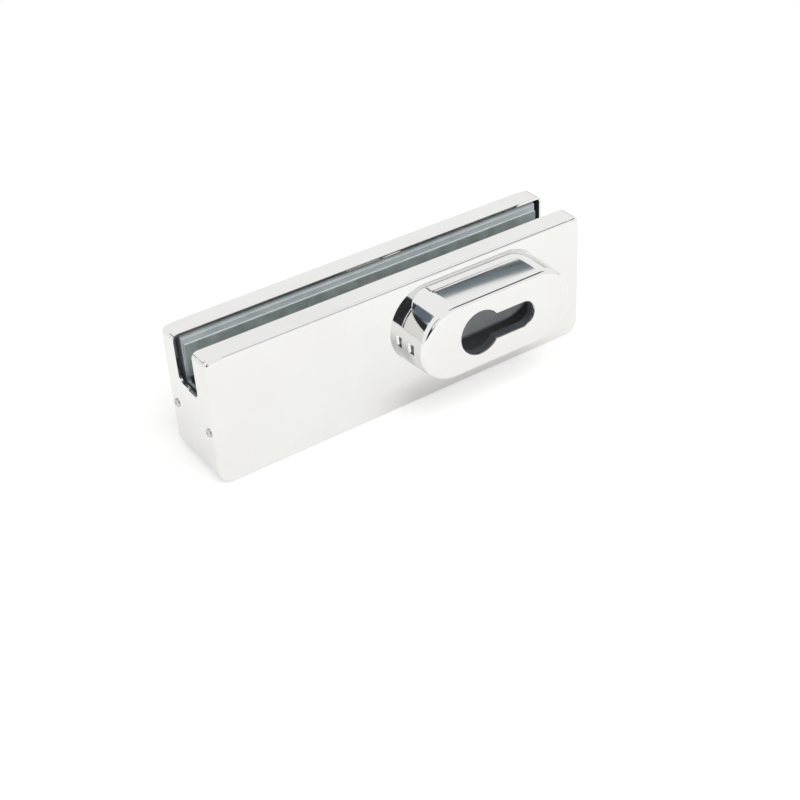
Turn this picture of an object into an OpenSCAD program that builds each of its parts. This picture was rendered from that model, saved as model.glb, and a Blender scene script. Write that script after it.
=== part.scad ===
// Patch lock for a frameless glass door: two polished covers over a die-cast clamp
// with a lock case and a bolt between its halves. X runs along the door's lower edge,
// Y through the glass with Y = 0 in its middle, and Z up. The covers stand on Z = 0,
// the glass slot opens upwards, and the front cover, at -Y, has the boss for the cylinder.

/* [Covers] */
// Length of the covers along the door's edge
cover_len = 165; // [158:1:190]
// Height of the covers
cover_h = 52; // [51:0.5:58]
// Thickness over both cover faces, without the bosses
cover_t = 32.6; // [31:0.2:38]
// Thickness of the covers' sheet
sheet = 1.2; // [0.8:0.1:1.4]
// Radius of the lower corners, seen from the front
low_corner_r = 5.5; // [3:0.5:7]
// Radius of the upper corners, seen from the front
top_corner_r = 2.5; // [2:0.1:4]
// Rounding of the edges round each face
edge_r = 1.2; // [0.6:0.1:1.5]
// Depth of the glass slot in the front cover's end walls
slot_depth = 19.2; // [18:0.2:20.4]
// How much less deep the slot is in the rear cover's end walls
rear_wall_step = 0.8; // [0.2:0.1:1]
// Rounding of the slot's lower corners in the end walls
slot_corner_r = 2.5; // [1:0.5:4]
// Gap in the seam between the two covers
seam_gap = 0.3; // [0.1:0.1:0.6]
// Width of the folded slit at each upper corner
slit_w = 0.3; // [0.2:0.05:0.5]

/* [Boss] */
// How far the boss stands out of the front cover's face
boss_out = 19.5; // [15:0.5:25]
// Length of the boss, over its round ends
boss_len = 70; // [66:0.5:76]
// Radius of the boss's round ends
boss_r = 15.9; // [15:0.1:16.5]
// Rounding of the boss's front edge
boss_edge_r = 2.3; // [1.5:0.1:2.8]
// How much the boss's walls draw in towards its front
boss_taper = 0.5; // [0.2:0.1:0.8]
// Height of the boss's straight wall, before it draws in
boss_straight = 7.6; // [5:0.2:9]
// Distance of the boss's middle from the middle of the covers
boss_x = 27.2; // [22:0.2:30]
// Distance of the boss's middle from the covers' outer top face
boss_drop = 18.5; // [18:0.1:19.5]
// Width of a clip window, across the face
window_w = 3; // [2:0.1:4]
// Height of a clip window
window_h = 4.2; // [3:0.1:5]
// Distance of the lower clip window's middle from the face
window_low = 5.6; // [4.5:0.1:7]
// Distance of the upper clip window's middle from the face
window_high = 12.7; // [11:0.1:14]

/* [Profile hole] */
// Radius of the round part that takes the cylinder's plug housing
plug_r = 8.75; // [8.6:0.05:9]
// Width of the profile's leg
leg_w = 10.2; // [10.1:0.1:10.8]
// Length of the profile over plug and leg
profile_len = 33.6; // [33.2:0.1:34.4]
// Reach of the cylinder's cam from the plug's axis
cam_reach = 15.3; // [14.5:0.1:15.6]
// How much wider the covers' profile holes are, each way
cover_hole_gap = 0.3; // [0.1:0.1:0.6]

/* [Clamp] */
// Thickness of the glass that the clamp takes
glass_t = 12; // [11.4:0.2:13]
// Thickness of a gasket
gasket_t = 1.2; // [0.8:0.1:1.5]
// How far the covers' rims stand in from the clamp plates' inner faces
rim_proud = 0.2; // [0.1:0.1:0.5]
// Distance of the clamp plates' upper edge from the covers' outer top face
plate_top_gap = 1.7; // [1.5:0.1:2.5]
// Distance of the clamp plates' ends from the covers' outer end faces
plate_end_gap = 3.2; // [1.6:0.1:4]
// Width of the bevel along a clamp plate's upper inner edge
plate_bevel = 1.6; // [0.5:0.1:2.5]
// Width of the bevel down a clamp plate's inner end edges
end_bevel = 0.4; // [0.3:0.1:1.2]
// Distance of the gaskets' upper edge from the clamp plates' upper edge
gasket_drop = 3.3; // [2.6:0.1:4.5]
// Depth of the pockets cast in the clamp plates' outer faces
pocket_depth = 2.5; // [2:0.5:5]
// Thickness of the ribs between the pockets
rib_t = 2.4; // [1.5:0.1:3.5]
// Gap between the foot blocks of the two clamp plates
foot_gap = 0.8; // [0.4:0.1:1.5]
// Thickness of the pads that the glass edge stands on
pad_t = 2; // [1:0.5:3]

/* [Lock case] */
// Thickness of the case's own walls
case_wall = 2; // [1.5:0.1:2.5]
// How far the case reaches above the plug's axis
case_over = 7.5; // [6.5:0.1:8]
// Room beside the bolt for its spring
spring_room = 4.6; // [4:0.1:5.5]
// Radius of the pin that stops the bolt at both ends of its travel
stop_r = 2; // [1.5:0.1:2.5]

/* [Bolt] */
// Width of the bolt
bolt_w = 27.4; // [24:0.2:29]
// Thickness of the bolt
bolt_t = 10; // [9:0.2:10.4]
// How far the bolt throws
throw = 15; // [12:0.5:15.5]
// Height of the bolt's solid head
bolt_head_h = 23.6; // [20:0.2:25]
// Thickness of the bolt's tail
tail_t = 4; // [3:0.2:5]
// Width of the bolt's tail
tail_w = 18; // [16:0.5:20]
// Distance of the bolt's flank from the plug's axis
flank_in = 10.45; // [10:0.05:11]
// Height of the bolt's end above the covers' lower face when it is drawn in
bolt_rest = 0.4; // [0.3:0.1:0.8]
// Thickness of the flat spring's strip
spring_t = 0.5; // [0.3:0.1:0.8]

/* [Screws] */
// Radius of the clamp screws' shanks
clamp_screw_r = 3; // [2.5:0.1:3.5]
// Radius of the case screws' shanks
case_screw_r = 1.5; // [1.2:0.1:1.8]
// Radius of the boss core screws' shanks
core_screw_r = 2; // [1.5:0.1:2.2]
// Radius of the small end screws' heads
end_head_r = 1.7; // [1.5:0.1:2.2]
// Height of the small end screws
end_screw_z = 21.3; // [18:0.1:24]
// Distance of the small end screws from the middle of the lock
end_screw_y = 12; // [10.5:0.1:12.4]
// Radius of the cylinder's fixing screw
fix_screw_r = 2.5; // [2:0.1:2.8]

/* [Clearances] */
// Gap between parts that are put together and stay so
seat_gap = 0.2; // [0.1:0.05:0.3]
// Gap round the bolt on each side
bolt_gap = 0.2; // [0.1:0.05:0.3]
// Gap round a screw or a pin in its hole
hole_gap = 0.1; // [0.05:0.05:0.2]

/* [Hidden] */
$fn = 64;
eps = 0.01;

// Planes of the covers and of the glass slot
half_len = cover_len / 2;
face_y = cover_t / 2;
plate_in_y = glass_t / 2 + gasket_t;
rim_y = plate_in_y - rim_proud;
plate_out_y = face_y - sheet - seat_gap;
boss_y = face_y + boss_out;
boss_z = cover_h - boss_drop;
end_wall_h = cover_h - slot_depth;

// Clamp plates, their foot blocks and the pads on them
plate_half = half_len - plate_end_gap;
plate_top_z = cover_h - plate_top_gap;
plate_low_z = sheet + 2 * seat_gap;
plate_top_r = 1;
gasket_top_z = plate_top_z - gasket_drop;
gasket_end_gap = end_bevel + seat_gap;
gasket_hole_gap = 0.5;
gasket_case_gap = 0.4;
glass_edge_z = end_wall_h + rear_wall_step;
foot_top_z = glass_edge_z - pad_t;
foot_side_gap = 1;
pad_side_gap = 1;

// Pockets in the clamp plates' outer faces
pocket_n = 4;
pocket_low = 8.2;
pocket_rim = 3.5;
pocket_end = 4;
pocket_boss_gap = 3;

// Profile hole: the plug's axis lies left of the boss's middle
plug_x = boss_x - profile_len / 2 + plug_r;
plug_z = boss_z;
leg_end_x = plug_x + profile_len - plug_r - leg_w / 2;

// Core of the boss, inside the cover: a plate on two pillars, high in the round ends
core_r = boss_r - boss_taper - sheet - seat_gap;
core_wall = 2;
core_front = 2.5;
core_front_y = boss_y - sheet - seat_gap;
boss_reach = boss_len / 2 - boss_r;
pillar_r = core_screw_r + core_wall;
pillar_in = core_r - pillar_r - core_wall / 2;
pillar_turn = 42;
core_screw_at = [for (s = [-1, 1]) [boss_x + s * (boss_reach + pillar_in * cos(pillar_turn)),
    boss_z + pillar_in * sin(pillar_turn)]];
core_head_r = 2 * core_screw_r;
core_head_h = core_screw_r;
core_tip_gap = 2;
core_screw_len = core_front_y - plate_in_y - core_tip_gap;

// Bolt, with its notch for the cam and its slot for the stop pin
bolt_x1 = plug_x - flank_in;
bolt_x0 = bolt_x1 - bolt_w;
bolt_x = (bolt_x0 + bolt_x1) / 2;
bolt_corner_r = 1.2;
tail_x0 = bolt_x1 - tail_w;
head_top_z = bolt_rest + bolt_head_h;
cam_half = sqrt(cam_reach * cam_reach - flank_in * flank_in);
cam_gap = 0.6;
notch_low_z = plug_z - cam_half + throw;
notch_top_z = plug_z + cam_half + bolt_gap;
notch_x = plug_x - cam_reach - cam_gap;
tail_arm = 1.9;
tail_bevel = [3, 5];
tail_top_z = notch_top_z + tail_arm;
stop_up = 10;
stop_z = bolt_rest + stop_up;
stop_gap = 0.3;
stop_slot_r = stop_r + stop_gap;
stop_end_gap = 0.1;

// Lock case
case_y = plate_in_y - hole_gap;
cavity_y = bolt_t / 2 + bolt_gap;
leg_room = 2.5;
case_x0 = bolt_x0 - bolt_gap - spring_room - case_wall;
case_x1 = plug_x + profile_len - plug_r + leg_room + case_wall;
case_low_z = plate_low_z;
case_top_z = plug_z + case_over;
case_bolt_x = [bolt_x0 - bolt_gap, bolt_x1 + bolt_gap];
tail_room = 1.5;
guide_t = 2.5;
guide_h = 15.6;
low_guide_h = 6;
cover_open_gap = 0.6;

// Block for the cylinder's fixing screw, under the profile's leg
fix_x = leg_end_x;
fix_block = 10;
fix_block_h = 12.4;
fix_head_r = 1.7 * fix_screw_r;
fix_head_h = 3;
fix_head_in = 0.2;
fix_tip_gap = 0.6;
fix_tip_z = plug_z - leg_w / 2 - fix_tip_gap;

// Case screws: two beside the spring, two round the profile's leg
case_screw_wall = 1.6;
case_boss_r = case_screw_r + case_screw_wall;
case_boss_gap = 0.2;
case_leg_gap = 3;
case_screw_grip = 4;
case_tip_gap = 0.5;
case_screw_tip = plate_in_y + case_screw_grip;
case_screw_x0 = case_bolt_x[0] - case_boss_r - case_boss_gap;
case_screw_at = [
    [case_screw_x0, case_low_z + case_boss_r],
    [case_screw_x0, case_top_z - case_boss_r - case_boss_gap],
    [fix_x - fix_block / 2 - case_boss_r - 5 * case_boss_gap, case_low_z + case_boss_r],
    [case_x1 - case_boss_r - 5 * case_boss_gap, plug_z - leg_w / 2 - case_boss_r - case_leg_gap]];

// Clamp screws and dowels: the foot blocks stand beside the case
foot_x0 = case_x0 - foot_side_gap;
foot_x1 = case_x1 + foot_side_gap;
clamp_end = 12;
clamp_foot = 11.5;
clamp_drop = 7.6;
clamp_low = 10;
clamp_low_in = 7;
dowel_r = 2.5;
dowel_z = 9;
dowel_end = 9;
dowel_tip_gap = 1.2;
clamp_head_r = 5 / 3 * clamp_screw_r;
clamp_head_h = 2 * clamp_screw_r;
clamp_head_in = 0.4;
clamp_tip = plate_out_y - 2.2;
clamp_socket = 3;
clamp_at = [
    [-plate_half + clamp_end, foot_top_z - clamp_drop],
    [foot_x0 - clamp_foot, foot_top_z - clamp_drop],
    [foot_x1 + clamp_low_in, clamp_low],
    [plate_half - clamp_end, foot_top_z - clamp_drop]];
dowel_at = [[(-plate_half + foot_x0) / 2, dowel_z], [plate_half - dowel_end, dowel_z]];

// Flat spring beside the bolt: an arc that bows from the case's wall to the bolt's flank
spring_w = 8;
spring_gap = 0.3;
spring_end_gap = 3.4;
spring_low_z = case_screw_at[0][1] + case_boss_r + spring_end_gap;
spring_len = case_screw_at[1][1] - case_boss_r - spring_end_gap - spring_low_z;
spring_z = spring_low_z + spring_len / 2;
spring_rise = spring_room - spring_gap;
spring_R = (pow(spring_len / 2, 2) + pow(spring_rise, 2)) / (2 * spring_rise);

// Small end screws, their domed heads standing on the covers' end walls
end_shank_r = 1.25;
end_head_h = 0.8;
end_head_flat = 0.6;
end_screw_len = 7;

// Cross recess of the screws, in parts of the head's radius
cross_len = 1.1;
cross_w = 0.24;

// Colours for the plain view
c_cover = "#d8d8d6";
c_cast = "#8d979c";
c_steel = "#a9adb0";
c_dark = "#3d4544";
c_brass = "#c2a35a";

// Outline of a cover or plate seen from the front, on Z = 0, with its corners rounded
module outline(half, low, top, r_low, r_top) {
    difference() {
        translate([-half, low]) square([2 * half, top - low]);
        for (s = [-1, 1]) {
            corner(s, s * half, low, r_low, 1);
            corner(s, s * half, top, r_top, -1);
        }
    }
}

// The waste outside one round corner; up is 1 for a lower corner and -1 for an upper one
module corner(side, x, z, r, up) {
    difference() {
        translate([x - (side > 0 ? r : 1), z - (up > 0 ? 1 : r)]) square([r + 1, r + 1]);
        translate([x - side * r, z + up * r]) circle(r);
    }
}

// Stands an outline drawn in X and Z up in the lock, from y0 to y1
module slab(y0, y1) {
    translate([0, y1, 0]) rotate([90, 0, 0]) linear_extrude(y1 - y0) children();
}

// Oblong of the boss, drawn in X and Z
module oblong(r) {
    for (s = [-1, 1]) translate([boss_x + s * boss_reach, boss_z]) circle(r);
    translate([boss_x - boss_reach, boss_z - r]) square([2 * boss_reach, 2 * r]);
}

// Profile hole, drawn in X and Z: a round with a leg that ends in a half round
module profile(gap = 0) {
    translate([plug_x, plug_z]) circle(plug_r + gap);
    translate([plug_x, plug_z - leg_w / 2 - gap]) square([leg_end_x - plug_x, leg_w + 2 * gap]);
    translate([leg_end_x, plug_z]) circle(leg_w / 2 + gap);
}

// Rod along Y
module rod_y(x, z, r, y0, y1) {
    translate([x, y1, z]) rotate([90, 0, 0]) cylinder(r = r, h = y1 - y0, $fn = 32);
}

// Countersunk head along Y: r0 at y0, r1 at y1
module cone_y(x, z, r0, r1, y0, y1) {
    translate([x, y0, z]) rotate([-90, 0, 0]) cylinder(r1 = r0, r2 = r1, h = y1 - y0, $fn = 32);
}

// Outside of a cover, down to the seam: slabs of the outline that draw in towards the face
module cover_skin() {
    hull() for (a = [0, 22.5, 45, 67.5, 90]) {
        in = edge_r * (1 - cos(a));
        slab(-face_y + edge_r * (1 - sin(a)), -seam_gap / 2)
            outline(half_len - in, in, cover_h - in, low_corner_r - in, top_corner_r - in, $fn = 32);
    }
}

// Outside of the drawn boss: straight at first, then drawn in, with its front edge rounded
module boss_skin() {
    hull() {
        slab(-face_y - boss_straight, -face_y + sheet / 2) oblong(boss_r, $fn = 48);
        for (a = [0, 22.5, 45, 67.5, 90])
            slab(-boss_y + boss_edge_r * (1 - sin(a)), -face_y)
                oblong(boss_r - boss_taper - boss_edge_r * (1 - cos(a)), $fn = 48);
    }
}

// Hollow of the boss, one sheet inside its skin
module boss_hollow() {
    hull() {
        slab(-face_y - boss_straight, -face_y + sheet + eps) oblong(boss_r - sheet, $fn = 48);
        slab(-boss_y + sheet, -face_y) oblong(boss_r - boss_taper - sheet, $fn = 48);
    }
}

// One stamped cover, drawn as the front one; the wall under its slot reaches up to wall_h
module cover(wall_h) {
    difference() {
        union() {
            cover_skin();
            children();
        }
        slab(-face_y + sheet, 1)
            outline(half_len - sheet, sheet, cover_h - sheet,
                low_corner_r - sheet, top_corner_r - sheet);
        glass_slot(wall_h);
        bolt_opening();
        for (s = [-1, 1]) corner_slit(s);
        for (s = [-1, 1]) translate([s * (half_len + 1), -end_screw_y, end_screw_z])
            rotate([0, -s * 90, 0]) end_screw_hole();
    }
}

// Half of the glass slot, open to the seam, with its lower corner rounded
module glass_slot(low_z) {
    translate([-half_len - 1, 0, 0]) rotate([90, 0, 90]) linear_extrude(cover_len + 2) difference() {
        translate([-rim_y, low_z]) square([rim_y + 1, cover_h]);
        corner(-1, -rim_y, low_z, slot_corner_r, 1);
    }
}

// Rectangular clip window in the boss's left end, d from the face
module clip_window(d, depth) {
    translate([boss_x - boss_len / 2 - 1, -face_y - d - window_w / 2, boss_z - window_h / 2])
        cube([1 + depth, window_w, window_h]);
}

// Half of the opening that the bolt passes in the covers' lower wall
module bolt_opening() {
    gap = bolt_gap + cover_open_gap;
    translate([bolt_x0 - gap, -bolt_t / 2 - gap, -1]) cube([bolt_w + 2 * gap, bolt_t, sheet + 2]);
}

// Slit where the folded top flange meets the end wall
module corner_slit(s) {
    translate([s * (half_len - top_corner_r), -face_y + sheet + edge_r, cover_h - top_corner_r])
        rotate([0, s * 45, 0]) translate([-slit_w / 2, 0, 0])
            cube([slit_w, face_y - rim_y, 2 * top_corner_r]);
}

// Hole for a small end screw, along +Z from 1 above the end face
module end_screw_hole() {
    cylinder(r = end_shank_r + hole_gap, h = 4, $fn = 32);
}

module front_cover() {
    color(c_cover) difference() {
        cover(end_wall_h) boss_skin();
        boss_hollow();
        slab(-boss_y - 1, -boss_y + sheet + 1) profile(cover_hole_gap);
        for (d = [window_low, window_high]) clip_window(d, 2 * sheet);
    }
}

module rear_cover() {
    color(c_cover) mirror([0, 1, 0]) cover(end_wall_h + rear_wall_step);
}

module plate_outline() {
    outline(plate_half, plate_low_z, plate_top_z, low_corner_r - sheet, plate_top_r);
}

// One die-cast clamp plate, drawn as the rear one; threaded holes are at shank size
module clamp_plate(head_side) {
    difference() {
        union() {
            slab(plate_in_y, plate_out_y) plate_outline();
            for (x = [[-plate_half, foot_x0], [foot_x1, plate_half]])
                slab(foot_gap / 2, plate_in_y + eps) intersection() {
                    plate_outline();
                    translate([x[0], plate_low_z]) square([x[1] - x[0], foot_top_z - plate_low_z]);
                }
        }
        slab(plate_in_y - 1, plate_out_y + 1) profile();
        translate([0, plate_in_y, plate_top_z]) rotate([45, 0, 0])
            cube([cover_len, sqrt(2) * plate_bevel, sqrt(2) * plate_bevel], center = true);
        for (s = [-1, 1]) translate([s * plate_half, plate_in_y, foot_top_z + cover_h / 2])
            rotate([0, 0, 45])
                cube([sqrt(2) * end_bevel, sqrt(2) * end_bevel, cover_h], center = true);
        plate_pockets();
        for (p = clamp_at) {
            rod_y(p[0], p[1], clamp_screw_r + hole_gap, 0, clamp_tip + 1);
            if (head_side) rod_y(p[0], p[1], clamp_screw_r + hole_gap, 0, plate_out_y + 1);
            if (head_side)
                rod_y(p[0], p[1], clamp_head_r + hole_gap,
                    plate_out_y - clamp_head_in - clamp_head_h, plate_out_y + 1);
        }
        for (p = dowel_at) rod_y(p[0], p[1], dowel_r + hole_gap, 0, plate_in_y - 1);
        if (head_side) {
            for (p = core_screw_at)
                rod_y(p[0], p[1], core_screw_r + hole_gap, plate_in_y - 1, plate_out_y + 1);
            for (p = case_screw_at)
                rod_y(p[0], p[1], case_screw_r + hole_gap, plate_in_y - 1, case_screw_tip + case_tip_gap);
        }
        for (s = [-1, 1]) translate([s * (plate_half + 1), end_screw_y, end_screw_z])
            rotate([0, -s * 90, 0]) cylinder(r = end_shank_r + hole_gap, h = end_screw_len, $fn = 32);
    }
}

// Pockets cast in a plate's outer face, left of the boss, with ribs between them
module plate_pockets() {
    x0 = -plate_half + pocket_end;
    x1 = boss_x - boss_len / 2 - pocket_boss_gap;
    z0 = end_screw_z + pocket_low;
    pitch = (x1 - x0 + rib_t) / pocket_n;
    for (i = [0 : pocket_n - 1])
        slab(plate_out_y - pocket_depth, plate_out_y + 1) translate([x0 + i * pitch, z0])
            square([pitch - rib_t, plate_top_z - pocket_rim - z0]);
}

module front_clamp_plate() {
    color(c_cast) mirror([0, 1, 0]) clamp_plate(true);
}

module rear_clamp_plate() {
    color(c_cast) clamp_plate(false);
}

// Gasket on one clamp plate: a strip with a leg down each side of the case
module gasket() {
    low_z = glass_edge_z + seat_gap;
    slab(plate_in_y - gasket_t, plate_in_y) difference() {
        translate([-plate_half + gasket_end_gap, low_z])
            square([2 * (plate_half - gasket_end_gap), gasket_top_z - low_z]);
        translate([foot_x0, low_z - 1])
            square([foot_x1 - foot_x0, case_top_z + gasket_case_gap - low_z + 1]);
        profile(gasket_hole_gap);
    }
}

module front_gasket() {
    color(c_dark) mirror([0, 1, 0]) gasket();
}

module rear_gasket() {
    color(c_dark) gasket();
}

// Pad that the glass edge stands on, between the gaskets
module glass_pad(x0, x1) {
    width = 2 * (plate_in_y - gasket_t - seat_gap);
    translate([x0, -width / 2, foot_top_z]) cube([x1 - x0, width, pad_t]);
}

module left_glass_pad() {
    color(c_dark) glass_pad(-plate_half + pad_side_gap, foot_x0 - pad_side_gap);
}

module right_glass_pad() {
    color(c_dark) glass_pad(foot_x1 + pad_side_gap, plate_half - pad_side_gap);
}

// Die-cast bridge inside the boss: it backs the drawn face and guides the cylinder's end
module boss_core() {
    color(c_cast) difference() {
        union() {
            slab(-core_front_y, -core_front_y + core_front) oblong(core_r);
            for (p = core_screw_at)
                rod_y(p[0], p[1], pillar_r, -core_front_y + core_front / 2, -plate_out_y);
        }
        slab(-core_front_y - 1, -core_front_y + core_front + 1) profile();
        for (p = core_screw_at) {
            rod_y(p[0], p[1], core_screw_r + hole_gap, -core_front_y - 1, -plate_out_y + 1);
            cone_y(p[0], p[1], core_head_r + hole_gap, core_screw_r + hole_gap,
                -core_front_y, -core_front_y + core_head_h);
        }
    }
}

// Countersunk screw along +Y from y0, with a cross recess in its head
module sunk_screw(x, z, r, head_r, head_h, y0, len) {
    difference() {
        union() {
            cone_y(x, z, head_r, r, y0, y0 + head_h);
            rod_y(x, z, r, y0 + head_h - eps, y0 + len);
        }
        cross(x, z, head_r, y0, head_h);
    }
}

// Cross recess in a screw head that faces -Y
module cross(x, z, head_r, y0, head_h) {
    for (a = [0, 90]) translate([x, y0, z]) rotate([0, a, 0])
        cube([cross_len * head_r, head_h, cross_w * head_r], center = true);
}

// Screws that hold the core to the front clamp plate
module core_screws() {
    color(c_steel) for (p = core_screw_at)
        sunk_screw(p[0], p[1], core_screw_r, core_head_r, core_head_h, -core_front_y, core_screw_len);
}

// Lock case: a base plate with walls that guide the bolt and leave the cam its circle
module lock_case() {
    color(c_cast) difference() {
        union() {
            slab(-case_y, -cavity_y) case_outline();
            slab(-cavity_y - eps, cavity_y) difference() {
                case_outline();
                translate([case_x0 + case_wall, case_low_z + case_wall])
                    square([case_x1 - case_x0 - 2 * case_wall, case_top_z - case_low_z - 2 * case_wall]);
                translate([tail_x0 - tail_room, case_top_z - case_wall - 1])
                    square([plug_x + cam_reach + cam_gap - tail_x0 + tail_room, case_wall + 2]);
            }
            slab(-cavity_y - eps, cavity_y) {
                translate([case_bolt_x[1], case_low_z]) square([guide_t, guide_h]);
                translate([case_bolt_x[0] - guide_t, case_low_z]) square([guide_t, low_guide_h]);
                translate([fix_x - fix_block / 2, case_low_z]) square([fix_block, fix_block_h]);
            }
            for (p = case_screw_at) rod_y(p[0], p[1], case_boss_r, -cavity_y - eps, cavity_y);
        }
        slab(-case_y - 1, case_y + 1) profile();
        translate([case_bolt_x[0], -cavity_y, case_low_z - 1])
            cube([bolt_w + 2 * bolt_gap, 2 * cavity_y, case_wall + 1 + eps]);
        for (p = case_screw_at) rod_y(p[0], p[1], case_screw_r + hole_gap, -case_y - 1, cavity_y + 1);
        rod_y(bolt_x, stop_z, stop_r + hole_gap, -case_y - 1, 0);
        translate([fix_x, 0, case_low_z - 1])
            cylinder(r = fix_screw_r + hole_gap, h = fix_block_h + 2, $fn = 32);
        translate([fix_x, 0, case_low_z - 1])
            cylinder(r = fix_head_r + hole_gap, h = 1 + fix_head_in + fix_head_h + hole_gap, $fn = 32);
    }
}

module case_outline() {
    translate([case_x0, case_low_z]) square([case_x1 - case_x0, case_top_z - case_low_z]);
}

module case_lid() {
    color(c_steel) difference() {
        slab(cavity_y, case_y) case_outline();
        slab(cavity_y - 1, case_y + 1) profile();
        rod_y(bolt_x, stop_z, stop_r + hole_gap, 0, case_y + 1);
        for (p = case_screw_at) {
            rod_y(p[0], p[1], case_screw_r + hole_gap, cavity_y - 1, case_y + 1);
            cone_y(p[0], p[1], case_screw_r + hole_gap, 2 * case_screw_r + hole_gap,
                case_y - case_screw_r, case_y);
        }
    }
}

// Screws through lid and case into the front clamp plate
module case_screws() {
    color(c_steel) mirror([0, 1, 0]) for (p = case_screw_at)
        sunk_screw(p[0], p[1], case_screw_r, 2 * case_screw_r, case_screw_r,
            -case_y, case_y + case_screw_tip);
}

// Bolt: a solid head with a thinner tail, notched for the cylinder's cam
module bolt() {
    color(c_steel) difference() {
        union() {
            slab(-bolt_t / 2, bolt_t / 2) difference() {
                translate([bolt_x0, bolt_rest]) square([bolt_w, bolt_head_h]);
                for (s = [-1, 1]) corner(s, bolt_x + s * bolt_w / 2, bolt_rest, bolt_corner_r, 1);
            }
            slab(-tail_t / 2, tail_t / 2) polygon([
                [tail_x0, head_top_z - 1], [bolt_x1, head_top_z - 1], [bolt_x1, tail_top_z],
                [tail_x0 + tail_bevel[0], tail_top_z], [tail_x0, tail_top_z - tail_bevel[1]]]);
        }
        slab(-tail_t, tail_t) polygon([
            [notch_x, notch_low_z], [bolt_x1 + 1, notch_low_z - cam_gap], [bolt_x1 + 1, notch_top_z],
            [notch_x, notch_top_z]]);
        slab(-bolt_t, bolt_t) {
            translate([bolt_x - stop_slot_r, stop_z]) square([2 * stop_slot_r, throw]);
            for (z = [0, throw]) translate([bolt_x, stop_z + z]) circle(stop_slot_r, $fn = 48);
        }
    }
}

module stop_pin() {
    color(c_steel) rod_y(bolt_x, stop_z, stop_r, -case_y + stop_end_gap, case_y - stop_end_gap);
}

// Flat spring that holds the bolt by friction where it is put
module bolt_spring() {
    color(c_brass) slab(-spring_w / 2, spring_w / 2) intersection() {
        translate([case_x0 + case_wall + hole_gap + spring_rise - spring_R, spring_z]) difference() {
            circle(spring_R, $fn = 128);
            circle(spring_R - spring_t, $fn = 128);
        }
        translate([case_x0 + case_wall + hole_gap, spring_z - spring_len / 2])
            square([spring_room, spring_len]);
    }
}

// Screw that fixes the cylinder from below
module cylinder_screw() {
    color(c_steel) translate([fix_x, 0, case_low_z + fix_head_in]) difference() {
        union() {
            cylinder(r = fix_head_r, h = fix_head_h, $fn = 32);
            cylinder(r = fix_screw_r, h = fix_tip_z - case_low_z - fix_head_in, $fn = 32);
        }
        for (a = [0, 90]) rotate([0, 0, a])
            cube([cross_len * fix_head_r, cross_w * fix_head_r, fix_head_h], center = true);
    }
}

// Socket head screws that pull the two clamp plates together
module clamp_screws() {
    top_y = -plate_out_y + clamp_head_in;
    color(c_steel) for (p = clamp_at) difference() {
        union() {
            rod_y(p[0], p[1], clamp_head_r, top_y, top_y + clamp_head_h - hole_gap);
            rod_y(p[0], p[1], clamp_screw_r, top_y + 1, clamp_tip);
        }
        translate([p[0], top_y + clamp_socket, p[1]]) rotate([90, 0, 0])
            cylinder(r = clamp_head_r - clamp_screw_r + eps, h = clamp_socket + 1, $fn = 6);
    }
}

module clamp_dowels() {
    half = plate_in_y - dowel_tip_gap;
    color(c_steel) for (p = dowel_at) rod_y(p[0], p[1], dowel_r, -half, half);
}

// Two small screws through a pair of end walls into the clamp plates, s tells the end
module end_screws(s) {
    for (y = [-1, 1]) translate([s * half_len, y * end_screw_y, end_screw_z]) rotate([0, -s * 90, 0])
        difference() {
            union() {
                translate([0, 0, -end_head_h])
                    cylinder(r1 = end_head_flat * end_head_r, r2 = end_head_r, h = end_head_h / 2, $fn = 32);
                translate([0, 0, -end_head_h / 2])
                    cylinder(r = end_head_r, h = end_head_h / 2 - eps, $fn = 32);
                translate([0, 0, -end_head_h / 2]) cylinder(r = end_shank_r, h = end_screw_len, $fn = 32);
            }
            translate([0, 0, -end_head_h]) for (a = [0, 90]) rotate([0, 0, a])
                cube([cross_len * end_head_r, cross_w * end_head_r, 5 * end_head_h / 4], center = true);
        }
}

module left_end_screws() {
    color(c_steel) end_screws(-1);
}

module right_end_screws() {
    color(c_steel) end_screws(1);
}

front_cover();
rear_cover();
front_clamp_plate();
rear_clamp_plate();
front_gasket();
rear_gasket();
left_glass_pad();
right_glass_pad();
boss_core();
core_screws();
lock_case();
case_lid();
case_screws();
bolt();
stop_pin();
bolt_spring();
cylinder_screw();
clamp_screws();
clamp_dowels();
left_end_screws();
right_end_screws();
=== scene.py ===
"""Patch lock for a frameless glass door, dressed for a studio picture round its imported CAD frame."""

import sys
import logging
import math
from dataclasses import dataclass, field, replace
from enum import Enum

import bmesh
import bpy
from mathutils import Matrix, Vector


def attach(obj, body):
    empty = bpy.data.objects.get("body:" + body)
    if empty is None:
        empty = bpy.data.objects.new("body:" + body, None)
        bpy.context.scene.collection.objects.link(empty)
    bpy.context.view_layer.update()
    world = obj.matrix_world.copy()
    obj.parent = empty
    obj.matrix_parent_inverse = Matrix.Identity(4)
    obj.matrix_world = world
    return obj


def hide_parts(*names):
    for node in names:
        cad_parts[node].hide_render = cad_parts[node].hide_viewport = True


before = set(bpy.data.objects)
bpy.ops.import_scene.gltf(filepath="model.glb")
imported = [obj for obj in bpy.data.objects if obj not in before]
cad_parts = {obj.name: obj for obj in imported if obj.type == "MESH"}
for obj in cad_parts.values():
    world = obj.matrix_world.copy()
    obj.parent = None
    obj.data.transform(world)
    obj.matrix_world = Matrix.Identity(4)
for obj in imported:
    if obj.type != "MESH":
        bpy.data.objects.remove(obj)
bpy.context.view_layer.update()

LOG = logging.getLogger("patch_lock")
MM = 0.001
WHITE = "#ffffff"
TOUCH = 1e-6
ROUNDED_FROM = math.radians(50)
ROUND_STEPS = 48
# The Mix node's sockets go by number, because those of its other data types bear the same names.
MIX_FACTOR, MIX_A, MIX_B, MIX_RESULT = 0, 6, 7, 2


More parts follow.
